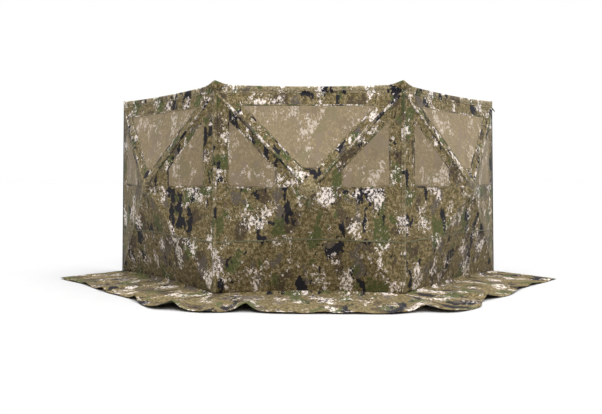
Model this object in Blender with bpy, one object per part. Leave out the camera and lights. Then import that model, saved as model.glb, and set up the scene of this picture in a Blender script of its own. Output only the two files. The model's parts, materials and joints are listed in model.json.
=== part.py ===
"""Pop-up panel ground blind, in metres with +Z up.

Three upright walls of printed cloth stand in a shallow U that is open behind. Each wall is a low pyramid:
four cloth facets rise from its straight edges to a hub in its middle, which four flexible poles press
outward from the wall's corners. Pushing the hub inward turns the pyramid inside out and slackens the wall.
The side walls turn on the two near corners. A skirt lies outward on the ground round all three walls.

A wall's own frame has X along the wall to the right as seen from outside, Y up and Z outward. A facet's
frame has X along its hinge edge, Y towards the hub and Z outward.
"""

import math

import bmesh
import bpy
from mathutils import Matrix, Vector

# Walls
WALL_WIDTH = 1.53
WALL_HEIGHT = 1.69
WALL_TURN = math.radians(45)
HUB_HEIGHT = WALL_HEIGHT / 2
HUB_BULGE = 0.19
CLOTH = 0.0015
WALLS = ("front", "left", "right")

# Corner piping, on the axes that the side walls turn about
PIPING_RADIUS = 0.005
PIPING_SIDES = 8
CORNER_GAP = 0.008

# Hem along the top edge, and the skirt along the bottom edge
HEM_HEIGHT = 0.065
HEM_THICKNESS = 0.003
SKIRT_WIDTH = 0.60
SKIRT_THICKNESS = 0.002
GUSSET_LIFT = 0.0005
GUSSET_STEPS = 4
SEAM_GAP = 0.0015

# Facets: HINGE_GAP is left at the sewn edge, and RIDGE_GAP at the ridges over the poles, where the flat
# cloth has to pass the wall's plane as the hub snaps through
HINGE_GAP = 0.003
RIDGE_GAP = 0.025
HUB_CUT = 0.090

# Windows: see-through mesh sewn into the cloth
STRIP_HALF = 0.080
CORNER_STRIP = 0.122
SILL_RISE = 0.015
SIDE_WINDOW_REACH = 0.265
TOP_WINDOW_DROP = 0.110
TOP_WINDOW_TOE = 0.160
MESH_THICKNESS = 0.0008
MESH_GAP = 0.0004

# Poles
POLE_RADIUS = 0.004
POLE_SIDES = 8
FERRULE_RADIUS = 0.005
ROOT_FERRULE = (0.020, 0.070)
TIP_FERRULE = 0.050
TIP_BEVEL = 0.006
FERRULE_TAPER = 0.002
END_RADIUS = 0.0024
POLE_DEPTH = 0.012
POCKET_ROOM = 0.022
EYE_RADIUS = 0.005
EYE_THICKNESS = 0.0056
EYE_HALF_HEIGHT = 0.004
EYE_STEPS = 6
WELD = 1e-6
SHARP_ANGLE = math.radians(35)

# Hub: a slotted disc, a square wire ring through the poles' eyes, and a flanged bolt through the middle
HUB_RADIUS = 0.040
HUB_HALF_THICKNESS = 0.012
HUB_BEVEL = 0.003
HUB_SIDES = 24
SLOT_SIDE_GAP = 0.0008
SLOT_START = 0.012
PIN_DISTANCE = 0.022
PIN_RADIUS = 0.0016
PIN_SIDES = 6
PIN_HOLE_SIDES = 12
PIN_PLAY = 0.0003
RING_BEND = 0.004
RING_BEND_STEPS = 3
PIN_DEPTH = 0.018
BOLT_RADIUS = 0.004
BOLT_SIDES = 16
BOLT_PLAY = 0.0003
NUT_RADIUS = 0.009
NUT_THICKNESS = 0.005
WASHER_LIFT = 0.004
WASHER_RADIUS = 0.015
WASHER_THICKNESS = 0.004
WASHER_DOME = 0.002
SEAT_GAP = 0.0003
CUTTER_REACH = 0.024

# Pull tab: flat webbing sewn to the bottom facet just below the hub
TAB_WIDTH = 0.025
TAB_LENGTH = 0.075
TAB_THICKNESS = 0.0015
TAB_GAP = 0.0003
TAB_EDGE = 0.003

# Caps over the two near corners, and the clip on the far right corner
CAP_REACH = 0.080
CAP_HALF_THICKNESS = 0.011
CAP_EDGE = 0.004
CAP_PEAK = 0.034
CAP_GAP = 0.002
CLIP_DROP = 0.062
CLIP_LENGTH = 0.055
CLIP_FALL = 0.030
CLIP_ROOT_HEIGHT = 0.022
CLIP_TIP_HEIGHT = 0.011
CLIP_THICKNESS = 0.008

# Places that follow from the sizes above. The origin is under the middle of the whole object's box.
FACET_LEFT = CORNER_GAP
FACET_RIGHT = WALL_WIDTH - CORNER_GAP
FACET_BOTTOM = SKIRT_THICKNESS + SEAM_GAP
FACET_TOP = WALL_HEIGHT - HEM_HEIGHT - SEAM_GAP
FACET_CORNERS = (
    (FACET_LEFT, FACET_BOTTOM),
    (FACET_RIGHT, FACET_BOTTOM),
    (FACET_RIGHT, FACET_TOP),
    (FACET_LEFT, FACET_TOP),
)
FACET_NAMES = ("bottom", "right", "top", "left")
POLE_NAMES = ("bottom_left", "bottom_right", "top_right", "top_left")
HUB_X = WALL_WIDTH / 2
CLIP_ROOT = WALL_WIDTH + PIPING_RADIUS + SEAM_GAP
FAR_DEPTH = (CLIP_ROOT + CLIP_LENGTH) * math.sin(WALL_TURN) + CLIP_THICKNESS / 2 * math.cos(WALL_TURN)
FRONT_Y = (SKIRT_WIDTH - FAR_DEPTH) / 2

# Materials: base colour, roughness and metallic value
FINISHES = {
    "cloth": ((0.20, 0.18, 0.10), 0.85, 0.0),
    "mesh": ((0.36, 0.31, 0.21), 0.90, 0.0),
    "piping": ((0.05, 0.05, 0.05), 0.70, 0.0),
    "fibreglass": ((0.02, 0.02, 0.02), 0.35, 0.0),
    "hub_plastic": ((0.03, 0.03, 0.03), 0.45, 0.0),
    "steel": ((0.55, 0.55, 0.55), 0.30, 1.0),
    "webbing": ((0.10, 0.11, 0.07), 0.80, 0.0),
}


def clear_scene():
    """Remove every object that the file starts with."""
    for existing in list(bpy.data.objects):
        bpy.data.objects.remove(existing)


def finish(name):
    """The material of that name, made on first use."""
    material = bpy.data.materials.get(name)
    if material is None:
        colour, roughness, metallic = FINISHES[name]
        material = bpy.data.materials.new(name)
        material.use_nodes = True
        shader = material.node_tree.nodes["Principled BSDF"]
        shader.inputs["Base Color"].default_value = (*colour, 1.0)
        shader.inputs["Roughness"].default_value = roughness
        shader.inputs["Metallic"].default_value = metallic
    return material


def place(name, data, finish_name, parent, matrix=None):
    """Put a mesh or a curve in the scene as a piece of its own, under a parent empty."""
    piece = bpy.data.objects.new(name, data)
    bpy.context.scene.collection.objects.link(piece)
    piece.parent = parent
    piece.matrix_local = matrix or Matrix()
    if finish_name not in data.materials:
        data.materials.append(finish(finish_name))
    return piece


def frame_empty(name, matrix, parent=None):
    """An empty that carries pieces, so that their places are given in its frame."""
    empty = bpy.data.objects.new(name, None)
    bpy.context.scene.collection.objects.link(empty)
    empty.parent = parent
    empty.matrix_local = matrix
    return empty


def frame_matrix(origin, x_axis, y_axis):
    """The matrix of a right-handed frame from its origin and its first two axes."""
    x_axis = Vector(x_axis).normalized()
    y_axis = Vector(y_axis).normalized()
    z_axis = x_axis.cross(y_axis)
    matrix = Matrix((x_axis, y_axis, z_axis)).transposed().to_4x4()
    matrix.translation = Vector(origin)
    return matrix


def plate_data(name, outline, thickness, holes=()):
    """A flat plate, centred on its XY plane, from a closed outline and holes."""
    curve = bpy.data.curves.new(name, "CURVE")
    curve.dimensions = "2D"
    curve.fill_mode = "BOTH"
    curve.extrude = thickness / 2
    for points in (outline, *holes):
        spline = curve.splines.new("POLY")
        spline.points.add(len(points) - 1)
        spline.use_cyclic_u = True
        for point, (x, y) in zip(spline.points, points):
            point.co = (x, y, 0.0, 1.0)
    return curve


def circle(radius, steps):
    """Points round a circle about the origin."""
    turn = 2 * math.pi / steps
    return [(radius * math.cos(turn * i), radius * math.sin(turn * i)) for i in range(steps)]


def turned_mesh(name, profile, sides):
    """A solid of revolution about Z from (z, radius) pairs that run upward."""
    mesh = bpy.data.meshes.new(name)
    shape = bmesh.new()
    rings = []
    for z, radius in profile:
        rings.append([shape.verts.new((x, y, z)) for x, y in circle(radius, sides)])
    for lower, upper in zip(rings, rings[1:]):
        for i in range(sides):
            j = (i + 1) % sides
            shape.faces.new((lower[i], lower[j], upper[j], upper[i]))
    shape.faces.new(reversed(rings[0]))
    shape.faces.new(rings[-1])
    shape.to_mesh(mesh)
    shape.free()
    smooth(mesh)
    return mesh


def smooth(mesh):
    """Smooth shading, with the edges over SHARP_ANGLE kept sharp."""
    mesh.shade_smooth()
    mesh.set_sharp_from_angle(angle=SHARP_ANGLE)


def loop_tube_mesh(name, path, radius, sides):
    """A round wire that follows a closed path in the XY plane, mitred at each point."""
    mesh = bpy.data.meshes.new(name)
    shape = bmesh.new()
    rings = []
    for i, point in enumerate(path):
        before = (point - path[i - 1]).normalized()
        after = (path[(i + 1) % len(path)] - point).normalized()
        along = (before + after).normalized()
        side = Vector((-along.y, along.x)) / along.dot(before)
        rings.append(
            [
                shape.verts.new((*(point + side * x), z))
                for x, z in circle(radius, sides)
            ]
        )
    for i, ring in enumerate(rings):
        following = rings[(i + 1) % len(rings)]
        for k in range(sides):
            m = (k + 1) % sides
            shape.faces.new((ring[k], ring[m], following[m], following[k]))
    bmesh.ops.recalc_face_normals(shape, faces=shape.faces)
    shape.to_mesh(mesh)
    shape.free()
    smooth(mesh)
    return mesh


def box_mesh(name, low, high):
    """A box between two corners."""
    mesh = bpy.data.meshes.new(name)
    shape = bmesh.new()
    bmesh.ops.create_cube(shape, size=1.0)
    size = Vector(high) - Vector(low)
    middle = (Vector(high) + Vector(low)) / 2
    bmesh.ops.scale(shape, vec=size, verts=shape.verts)
    bmesh.ops.translate(shape, vec=middle, verts=shape.verts)
    shape.to_mesh(mesh)
    shape.free()
    return mesh


def prism_mesh(name, plan, low, highs):
    """A closed solid with a flat base on plan at height low, and a height of its own at each point above."""
    mesh = bpy.data.meshes.new(name)
    shape = bmesh.new()
    base = [shape.verts.new((x, y, low)) for x, y in plan]
    top = [shape.verts.new((x, y, z)) for (x, y), z in zip(plan, highs)]
    for i in range(len(plan)):
        j = (i + 1) % len(plan)
        shape.faces.new((base[i], base[j], top[j], top[i]))
    half = len(plan) // 2
    for i in range(half - 1):
        near, far = i + 1, len(plan) - 2 - i
        shape.faces.new((base[i], base[far + 1], base[far], base[near]))
        shape.faces.new((top[i], top[near], top[far], top[far + 1]))
    bmesh.ops.recalc_face_normals(shape, faces=shape.faces)
    shape.to_mesh(mesh)
    shape.free()
    return mesh


def boolean_mesh(name, body, steps):
    """The mesh that is left once each (operation, tool object) has been applied to the body object."""
    for operation, tool in steps:
        tool.hide_render = True
        tool.display_type = "WIRE"
        cut = body.modifiers.new(operation.lower(), "BOOLEAN")
        cut.operation = operation
        cut.object = tool
    bpy.context.view_layer.update()
    graph = bpy.context.evaluated_depsgraph_get()
    mesh = bpy.data.meshes.new_from_object(body.evaluated_get(graph))
    mesh.name = name
    for used in (body, *[tool for _, tool in steps]):
        bpy.data.objects.remove(used)
    smooth(mesh)
    return mesh


def helper(name, data, matrix=None):
    """An object that only lends its shape to a Boolean."""
    tool = bpy.data.objects.new(name, data)
    bpy.context.scene.collection.objects.link(tool)
    tool.matrix_world = matrix or Matrix()
    return tool


def inset(points, amounts):
    """A convex outline with each edge moved inward; amounts[i] belongs to the edge that starts at point i."""
    lines = []
    for i, point in enumerate(points):
        following = points[(i + 1) % len(points)]
        along = (Vector(following) - Vector(point)).normalized()
        inward = Vector((-along.y, along.x))
        lines.append((Vector(point) + inward * amounts[i], along))
    moved = []
    for i, (start, along) in enumerate(lines):
        other, direction = lines[i - 1]
        reach = (start - other).cross(along) / direction.cross(along)
        moved.append(other + direction * reach)
    return moved


def wall_matrices():
    """Each wall's frame in the world."""
    near_left = Vector((-WALL_WIDTH / 2, FRONT_Y, 0))
    near_right = Vector((WALL_WIDTH / 2, FRONT_Y, 0))
    headings = {"front": 0.0, "left": -WALL_TURN, "right": WALL_TURN}
    along = {w: Vector((math.cos(a), math.sin(a), 0)) for w, a in headings.items()}
    origins = {
        "front": near_left,
        "left": near_left - along["left"] * WALL_WIDTH,
        "right": near_right,
    }
    return {w: frame_matrix(origins[w], along[w], (0, 0, 1)) for w in WALLS}


def facet_frame(index):
    """A facet's frame in its wall, with its hinge's length and its apex, under the hub, in that frame."""
    start = Vector((*FACET_CORNERS[index], 0))
    end = Vector((*FACET_CORNERS[(index + 1) % 4], 0))
    apex = Vector((HUB_X, HUB_HEIGHT, HUB_BULGE)) - start
    along = (end - start).normalized()
    rise = apex - along * apex.dot(along)
    matrix = frame_matrix(start, along, rise)
    return matrix, (end - start).length, Vector((apex.dot(along), rise.length))


def facet_outline(length, apex):
    """A facet's outline, trimmed back from its hinge, its two ridges and the hub."""
    left = apex - apex.normalized() * HUB_CUT
    from_right = apex - Vector((length, 0))
    right = apex - from_right.normalized() * HUB_CUT
    corners = [Vector((0, 0)), Vector((length, 0)), right, left]
    return inset(corners, (HINGE_GAP, RIDGE_GAP, 0, RIDGE_GAP))


def on_facet(matrix, x, y):
    """The point of a facet that lies straight outward from (x, y) on its wall's plane, in its own frame."""
    normal = matrix.col[2].to_3d()
    to_point = Vector((x, y, 0)) - matrix.translation
    out = -normal.dot(to_point) / normal.z
    local = matrix.inverted() @ Vector((x, y, out))
    return local.x, local.y


def ridge_height(x):
    """The height of the upper left ridge at x, in the wall's plane."""
    share = (x - FACET_LEFT) / (HUB_X - FACET_LEFT)
    return FACET_TOP + (HUB_HEIGHT - FACET_TOP) * share


def ridge_offset():
    """How far above or below a ridge a strip's edge is, straight up the wall."""
    slope = math.atan2(FACET_TOP - HUB_HEIGHT, HUB_X - FACET_LEFT)
    return STRIP_HALF / math.cos(slope)


def top_window_outline():
    """The V of mesh under the top band, in the wall's plane, its toe cut off flat."""
    run = (HUB_X - FACET_LEFT) / (FACET_TOP - HUB_HEIGHT)
    point = HUB_HEIGHT + ridge_offset()
    top = FACET_TOP - TOP_WINDOW_DROP
    toe = HUB_HEIGHT + TOP_WINDOW_TOE
    half_top = (top - point) * run
    half_toe = (toe - point) * run
    return [
        (HUB_X - half_toe, toe),
        (HUB_X + half_toe, toe),
        (HUB_X + half_top, top),
        (HUB_X - half_top, top),
    ]


def side_window_outline(side):
    """The mesh beside a corner strip, above the sill, in the wall's plane."""
    inner = HUB_X - SIDE_WINDOW_REACH
    sill = HUB_HEIGHT + SILL_RISE
    points = [
        (CORNER_STRIP, sill),
        (inner, sill),
        (inner, ridge_height(inner) - ridge_offset()),
        (CORNER_STRIP, ridge_height(CORNER_STRIP) - ridge_offset()),
    ]
    if side == "left":
        return points
    return [(WALL_WIDTH - x, y) for x, y in reversed(points)]


def window_outline(facet_name):
    """The window in a facet, in the wall's plane, or None in the bottom one, which has none."""
    if facet_name == "bottom":
        return None
    if facet_name == "top":
        return top_window_outline()
    return side_window_outline(facet_name)


def build_facets(wall, parent):
    """Four cloth facets on their hinge edges, with the mesh windows set in."""
    for index, facet_name in enumerate(FACET_NAMES):
        matrix, length, apex = facet_frame(index)
        hinge = frame_empty(f"{wall}_{facet_name}_facet_hinge", matrix, parent)
        outline = facet_outline(length, apex)
        holes = []
        window = window_outline(facet_name)
        if window:
            hole = [on_facet(matrix, x, y) for x, y in window]
            holes.append(hole)
            name = f"{wall}_{facet_name}_window"
            pane = plate_data(name, inset(hole, [MESH_GAP] * len(hole)), MESH_THICKNESS)
            place(name, pane, "mesh", hinge)
        name = f"{wall}_{facet_name}_facet"
        place(name, plate_data(name, outline, CLOTH, holes), "cloth", hinge)


def pole_directions():
    """Unit vectors in the wall's plane from the hub to each corner, in the order of FACET_CORNERS."""
    hub = Vector((HUB_X, HUB_HEIGHT))
    return [(Vector(corner) - hub).normalized() for corner in FACET_CORNERS]


def pole_mesh(length):
    """A pole along Z from its pin: an eye, a blade, a root ferrule, the rod and a tip ferrule."""
    blade_end = ROOT_FERRULE[0] + FERRULE_TAPER * 2
    arc = []
    for i in range(EYE_STEPS + 1):
        angle = math.pi + math.pi * i / EYE_STEPS
        arc.append((EYE_RADIUS * math.cos(angle), EYE_RADIUS * math.sin(angle)))
    shoulder = [
        (EYE_HALF_HEIGHT, EYE_RADIUS),
        (EYE_HALF_HEIGHT, blade_end),
        (-EYE_HALF_HEIGHT, blade_end),
        (-EYE_HALF_HEIGHT, EYE_RADIUS),
    ]
    hole = circle(PIN_RADIUS + PIN_PLAY, PIN_HOLE_SIDES)
    blade = plate_data("blade", arc + shoulder, EYE_THICKNESS, [hole])
    start, end = ROOT_FERRULE
    tip = length - TIP_FERRULE
    rod = turned_mesh(
        "rod",
        [
            (start - FERRULE_TAPER, END_RADIUS),
            (start, FERRULE_RADIUS),
            (end, FERRULE_RADIUS),
            (end + FERRULE_TAPER, POLE_RADIUS),
            (tip - FERRULE_TAPER, POLE_RADIUS),
            (tip, FERRULE_RADIUS),
            (length - TIP_BEVEL, FERRULE_RADIUS),
            (length, END_RADIUS),
        ],
        POLE_SIDES,
    )
    upright = Matrix.Rotation(math.radians(90), 4, "X")
    solid_blade = as_mesh("blade_solid", helper("blade_curve", blade))
    body = helper("pole_rod", rod)
    return boolean_mesh("pole", body, [("UNION", helper("pole_blade", solid_blade, upright))])


def as_mesh(name, curve_object):
    """The closed mesh of a plate curve, its caps welded to its sides."""
    graph = bpy.context.evaluated_depsgraph_get()
    mesh = bpy.data.meshes.new_from_object(curve_object.evaluated_get(graph))
    mesh.name = name
    bpy.data.objects.remove(curve_object)
    shape = bmesh.new()
    shape.from_mesh(mesh)
    bmesh.ops.remove_doubles(shape, verts=shape.verts, dist=WELD)
    bmesh.ops.recalc_face_normals(shape, faces=shape.faces)
    shape.to_mesh(mesh)
    shape.free()
    return mesh


def pole_frame(direction, corner):
    """A pole's frame in its wall, with Z along it and Y along its pin, and its length."""
    pin = Vector((HUB_X, HUB_HEIGHT, HUB_BULGE - PIN_DEPTH)) + direction.to_3d() * PIN_DISTANCE
    pocket = Vector((*corner, -POLE_DEPTH))
    along = (pocket - pin).normalized()
    pin_axis = direction.to_3d().cross(Vector((0, 0, 1)))
    matrix = frame_matrix(pin, pin_axis.cross(along), pin_axis)
    return matrix, (pocket - pin).length - POCKET_ROOM


def build_poles(wall, parent, meshes):
    """Four poles from the hub's pins to the corner pockets."""
    for name, direction, corner in zip(POLE_NAMES, pole_directions(), FACET_CORNERS):
        matrix, length = pole_frame(direction, corner)
        if name not in meshes:
            meshes[name] = pole_mesh(length)
        place(f"{wall}_pole_{name}", meshes[name], "fibreglass", parent, matrix)


def ring_path():
    """The middle line of the hub's wire ring: a straight side across each pole, with bent corners."""
    directions = pole_directions()
    path = []
    for i, direction in enumerate(directions):
        following = directions[(i + 1) % 4]
        bisector = (direction + following).normalized()
        half = math.acos(bisector.dot(direction))
        corner = bisector * PIN_DISTANCE / math.cos(half)
        centre = corner - bisector * RING_BEND / math.cos(half)
        start = math.atan2(direction.y, direction.x)
        for k in range(RING_BEND_STEPS + 1):
            angle = start + 2 * half * k / RING_BEND_STEPS
            path.append(centre + Vector((math.cos(angle), math.sin(angle))) * RING_BEND)
    return path


def hub_core_mesh():
    """The slotted disc, with the ring's channel and the bolt's bore."""
    core = turned_mesh(
        "core",
        [
            (-HUB_HALF_THICKNESS, HUB_RADIUS - HUB_BEVEL),
            (-HUB_HALF_THICKNESS + HUB_BEVEL, HUB_RADIUS),
            (HUB_HALF_THICKNESS - HUB_BEVEL, HUB_RADIUS),
            (HUB_HALF_THICKNESS, HUB_RADIUS - HUB_BEVEL),
        ],
        HUB_SIDES,
    )
    half_slot = EYE_THICKNESS / 2 + SLOT_SIDE_GAP
    slot = box_mesh(
        "slot",
        (SLOT_START, -half_slot, -CUTTER_REACH),
        (HUB_RADIUS + CUTTER_REACH, half_slot, CUTTER_REACH),
    )
    cuts = []
    for i, direction in enumerate(pole_directions()):
        turn = Matrix.Rotation(math.atan2(direction.y, direction.x), 4, "Z")
        cuts.append(("DIFFERENCE", helper(f"slot_{i}", slot, turn)))
    channel = loop_tube_mesh("channel", ring_path(), PIN_RADIUS + PIN_PLAY, PIN_SIDES)
    cuts.append(("DIFFERENCE", helper("ring_channel", channel)))
    bore_radius = BOLT_RADIUS + BOLT_PLAY
    bore = turned_mesh("bore", [(-CUTTER_REACH, bore_radius), (CUTTER_REACH, bore_radius)], BOLT_SIDES)
    cuts.append(("DIFFERENCE", helper("bolt_bore", bore)))
    return boolean_mesh("hub_core", helper("hub_blank", core), cuts)


def hub_bolt_mesh():
    """The bolt that clamps the cloth: a nut inside, a stem, and a domed washer outside."""
    nut_top = -HUB_HALF_THICKNESS - SEAT_GAP
    washer = PIN_DEPTH + WASHER_LIFT
    return turned_mesh(
        "hub_bolt",
        [
            (nut_top - NUT_THICKNESS, NUT_RADIUS),
            (nut_top, NUT_RADIUS),
            (nut_top, BOLT_RADIUS),
            (washer, BOLT_RADIUS),
            (washer, WASHER_RADIUS),
            (washer + WASHER_THICKNESS - WASHER_DOME, WASHER_RADIUS - WASHER_DOME),
            (washer + WASHER_THICKNESS, WASHER_RADIUS / 2),
        ],
        BOLT_SIDES,
    )


def build_hub(wall, parent, meshes):
    """The hub's disc, ring and bolt, in a frame on the hub's axis."""
    centre = Matrix.Translation((HUB_X, HUB_HEIGHT, HUB_BULGE - PIN_DEPTH))
    hub = frame_empty(f"{wall}_hub", centre, parent)
    if "hub_core" not in meshes:
        meshes["hub_core"] = hub_core_mesh()
        meshes["hub_bolt"] = hub_bolt_mesh()
        meshes["pin_ring"] = loop_tube_mesh("pin_ring", ring_path(), PIN_RADIUS, PIN_SIDES)
    place(f"{wall}_hub_core", meshes["hub_core"], "hub_plastic", hub)
    place(f"{wall}_hub_bolt", meshes["hub_bolt"], "hub_plastic", hub)
    place(f"{wall}_hub_pin_ring", meshes["pin_ring"], "steel", hub)


def build_pull_tab(wall):
    """The webbing tab on the bottom facet, which moves with that cloth."""
    _, length, apex = facet_frame(FACET_NAMES.index("bottom"))
    top = facet_outline(length, apex)[2].y - TAB_EDGE
    half = TAB_WIDTH / 2
    outline = [(-half, -TAB_LENGTH), (half, -TAB_LENGTH), (half, 0), (-half, 0)]
    seat = Vector((apex.x, top, CLOTH / 2 + TAB_GAP + TAB_THICKNESS / 2))
    name = f"{wall}_pull_tab"
    tab = plate_data(name, outline, TAB_THICKNESS)
    hinge = bpy.data.objects[f"{wall}_bottom_facet_hinge"]
    place(name, tab, "webbing", hinge, Matrix.Translation(seat))


def build_edges(wall, parent):
    """The hem along a wall's top edge and the flat skirt along the bottom edge."""
    low = WALL_HEIGHT - HEM_HEIGHT
    outline = [(FACET_LEFT, low), (FACET_RIGHT, low), (FACET_RIGHT, WALL_HEIGHT), (FACET_LEFT, WALL_HEIGHT)]
    name = f"{wall}_top_hem"
    place(name, plate_data(name, outline, HEM_THICKNESS), "cloth", parent)
    half = SKIRT_THICKNESS / 2
    profile = [
        (-half, 0),
        (SKIRT_WIDTH, 0),
        (SKIRT_WIDTH, SKIRT_THICKNESS),
        (-half, SKIRT_THICKNESS),
    ]
    name = f"{wall}_skirt"
    across = frame_matrix((HUB_X, 0, 0), (0, 0, 1), (0, 1, 0))
    place(name, plate_data(name, profile, FACET_RIGHT - FACET_LEFT), "cloth", parent, across)


def build_gusset(name, corner, first, second):
    """The wedge of skirt between two walls at a near corner, flat on the ground."""
    plan = []
    start = PIPING_RADIUS + SEAM_GAP
    for i in range(GUSSET_STEPS + 1):
        angle = first + (second - first) * i / GUSSET_STEPS
        plan.append((SKIRT_WIDTH * math.cos(angle), SKIRT_WIDTH * math.sin(angle)))
    plan.append((start * math.cos(second), start * math.sin(second)))
    plan.append((start * math.cos(first), start * math.sin(first)))
    thickness = SKIRT_THICKNESS - GUSSET_LIFT
    middle = GUSSET_LIFT + thickness / 2
    where = Matrix.Translation(corner + Vector((0, 0, middle)))
    place(name, plate_data(name, plan, thickness), "cloth", None, where)


def build_piping(name, foot):
    """The round edging up a corner, from the ground to the top of the hems."""
    profile = [(0, PIPING_RADIUS), (WALL_HEIGHT, PIPING_RADIUS)]
    place(name, turned_mesh(name, profile, PIPING_SIDES), "piping", None, Matrix.Translation(foot))


def build_cap(name, corner, along_front, along_side):
    """The peaked cap over a near corner, with an arm above the end of each hem."""
    middle = -(along_front + along_side).normalized()
    front_out = Vector((along_front.y, -along_front.x)) * CAP_HALF_THICKNESS
    side_out = Vector((-along_side.y, along_side.x)) * CAP_HALF_THICKNESS
    if front_out.dot(middle) < 0:
        front_out, side_out = -front_out, -side_out
    knee = middle * CAP_HALF_THICKNESS / abs(middle.dot(front_out.normalized()))
    plan = [
        along_front * CAP_REACH + front_out,
        knee,
        along_side * CAP_REACH + side_out,
        along_side * CAP_REACH - side_out,
        -knee,
        along_front * CAP_REACH - front_out,
    ]
    low = WALL_HEIGHT + CAP_GAP
    heights = [low + CAP_EDGE, WALL_HEIGHT + CAP_PEAK, low + CAP_EDGE] * 2
    mesh = prism_mesh(name, plan, low, heights)
    place(name, mesh, "cloth", None, Matrix.Translation((corner.x, corner.y, 0)))


def build_clip(parent):
    """The small hook that sticks out of the far right corner, below the hem."""
    top = WALL_HEIGHT - CLIP_DROP
    tip = CLIP_ROOT + CLIP_LENGTH
    outline = [
        (CLIP_ROOT, top - CLIP_ROOT_HEIGHT),
        (tip, top - CLIP_FALL - CLIP_TIP_HEIGHT),
        (tip, top - CLIP_FALL),
        (CLIP_ROOT, top),
    ]
    name = "right_end_clip"
    place(name, plate_data(name, outline, CLIP_THICKNESS), "hub_plastic", parent)


def build_corners(matrices, wall_empties):
    """Piping on all four upright edges, and the caps and skirt gussets of the two near corners."""
    foot = Vector((WALL_WIDTH, 0, 0))
    near = {"left": matrices["front"].translation, "right": matrices["right"].translation}
    far = {"left": matrices["left"].translation, "right": matrices["right"] @ foot}
    along = {wall: matrices[wall].col[0].to_2d() for wall in WALLS}
    arms = {"left": (along["front"], -along["left"]), "right": (-along["front"], along["right"])}
    outward = -math.pi / 2
    turns = {"left": -WALL_TURN, "right": WALL_TURN}
    for side in ("left", "right"):
        build_piping(f"{side}_corner_piping", near[side])
        build_piping(f"{side}_end_piping", far[side])
        build_cap(f"{side}_corner_cap", near[side].to_2d(), *arms[side])
        build_gusset(f"{side}_skirt_gusset", near[side], outward, outward + turns[side])
    build_clip(wall_empties["right"])


def main():
    clear_scene()
    matrices = wall_matrices()
    wall_empties = {}
    meshes = {}
    for wall in WALLS:
        wall_empties[wall] = frame_empty(f"{wall}_wall", matrices[wall])
        build_edges(wall, wall_empties[wall])
        build_facets(wall, wall_empties[wall])
        build_pull_tab(wall)
        build_hub(wall, wall_empties[wall], meshes)
        build_poles(wall, wall_empties[wall], meshes)
    build_corners(matrices, wall_empties)


main()
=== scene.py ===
"""Pop-up ground blind: printed cloth walls on hubs and poles, a ground skirt and its fittings.

Each wall has a frame of its own: X along the wall to the right as seen from outside, Y up and Z outward.
"""

import json
import logging
import math
from collections.abc import Callable, Sequence
from dataclasses import dataclass, field
from enum import Enum

import bmesh
import bpy
from mathutils import Matrix, Vector, noise

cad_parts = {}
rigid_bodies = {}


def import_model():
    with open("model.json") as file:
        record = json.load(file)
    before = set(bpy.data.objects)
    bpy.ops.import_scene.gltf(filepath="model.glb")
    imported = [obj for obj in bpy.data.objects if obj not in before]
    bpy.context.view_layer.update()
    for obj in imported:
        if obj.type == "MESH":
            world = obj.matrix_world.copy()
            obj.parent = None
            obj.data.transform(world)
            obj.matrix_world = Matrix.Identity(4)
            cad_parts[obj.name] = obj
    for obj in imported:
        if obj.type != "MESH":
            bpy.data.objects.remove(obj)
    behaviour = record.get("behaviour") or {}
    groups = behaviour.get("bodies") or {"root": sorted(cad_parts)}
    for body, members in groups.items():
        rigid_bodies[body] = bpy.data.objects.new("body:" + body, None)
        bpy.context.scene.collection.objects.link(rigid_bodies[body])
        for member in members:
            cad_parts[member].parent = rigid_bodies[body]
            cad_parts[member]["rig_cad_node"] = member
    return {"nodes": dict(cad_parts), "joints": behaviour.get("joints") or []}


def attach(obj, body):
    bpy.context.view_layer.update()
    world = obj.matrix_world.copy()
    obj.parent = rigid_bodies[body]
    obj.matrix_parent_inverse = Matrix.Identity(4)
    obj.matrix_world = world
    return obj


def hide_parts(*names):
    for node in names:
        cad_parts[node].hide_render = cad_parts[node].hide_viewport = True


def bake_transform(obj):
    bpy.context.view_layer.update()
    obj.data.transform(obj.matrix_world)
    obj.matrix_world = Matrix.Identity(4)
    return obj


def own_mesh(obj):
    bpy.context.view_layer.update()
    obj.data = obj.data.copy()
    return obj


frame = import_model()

LOG = logging.getLogger("blind")
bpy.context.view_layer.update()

Colour = tuple[float, float, float]
Plan = tuple[float, float]
Ring = list[Vector]


# ---------------------------------------------------------------- helpers


def smoothstep(low: float, high: float, value: float) -> float:
    """Zero at low, one at high and smooth between."""
    t = min(1.0, max(0.0, (value - low) / (high - low)))
    return t * t * (3 - 2 * t)


def wobble(x: float, y: float, seed: float = 0.0) -> float:
    """Smooth noise between about -1 and 1."""
    return noise.noise(Vector((x, y, seed)))


def curve_through(stops: Sequence[Plan], s: float) -> float:
    """A smooth value at s between (place, value) stops in rising order."""
    if s <= stops[0][0]:
        return stops[0][1]
    for (a, low), (b, high) in zip(stops, stops[1:]):
        if s <= b:
            return low + (high - low) * smoothstep(a, b, s)
    return stops[-1][1]


# ---------------------------------------------------------------- finishes


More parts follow.
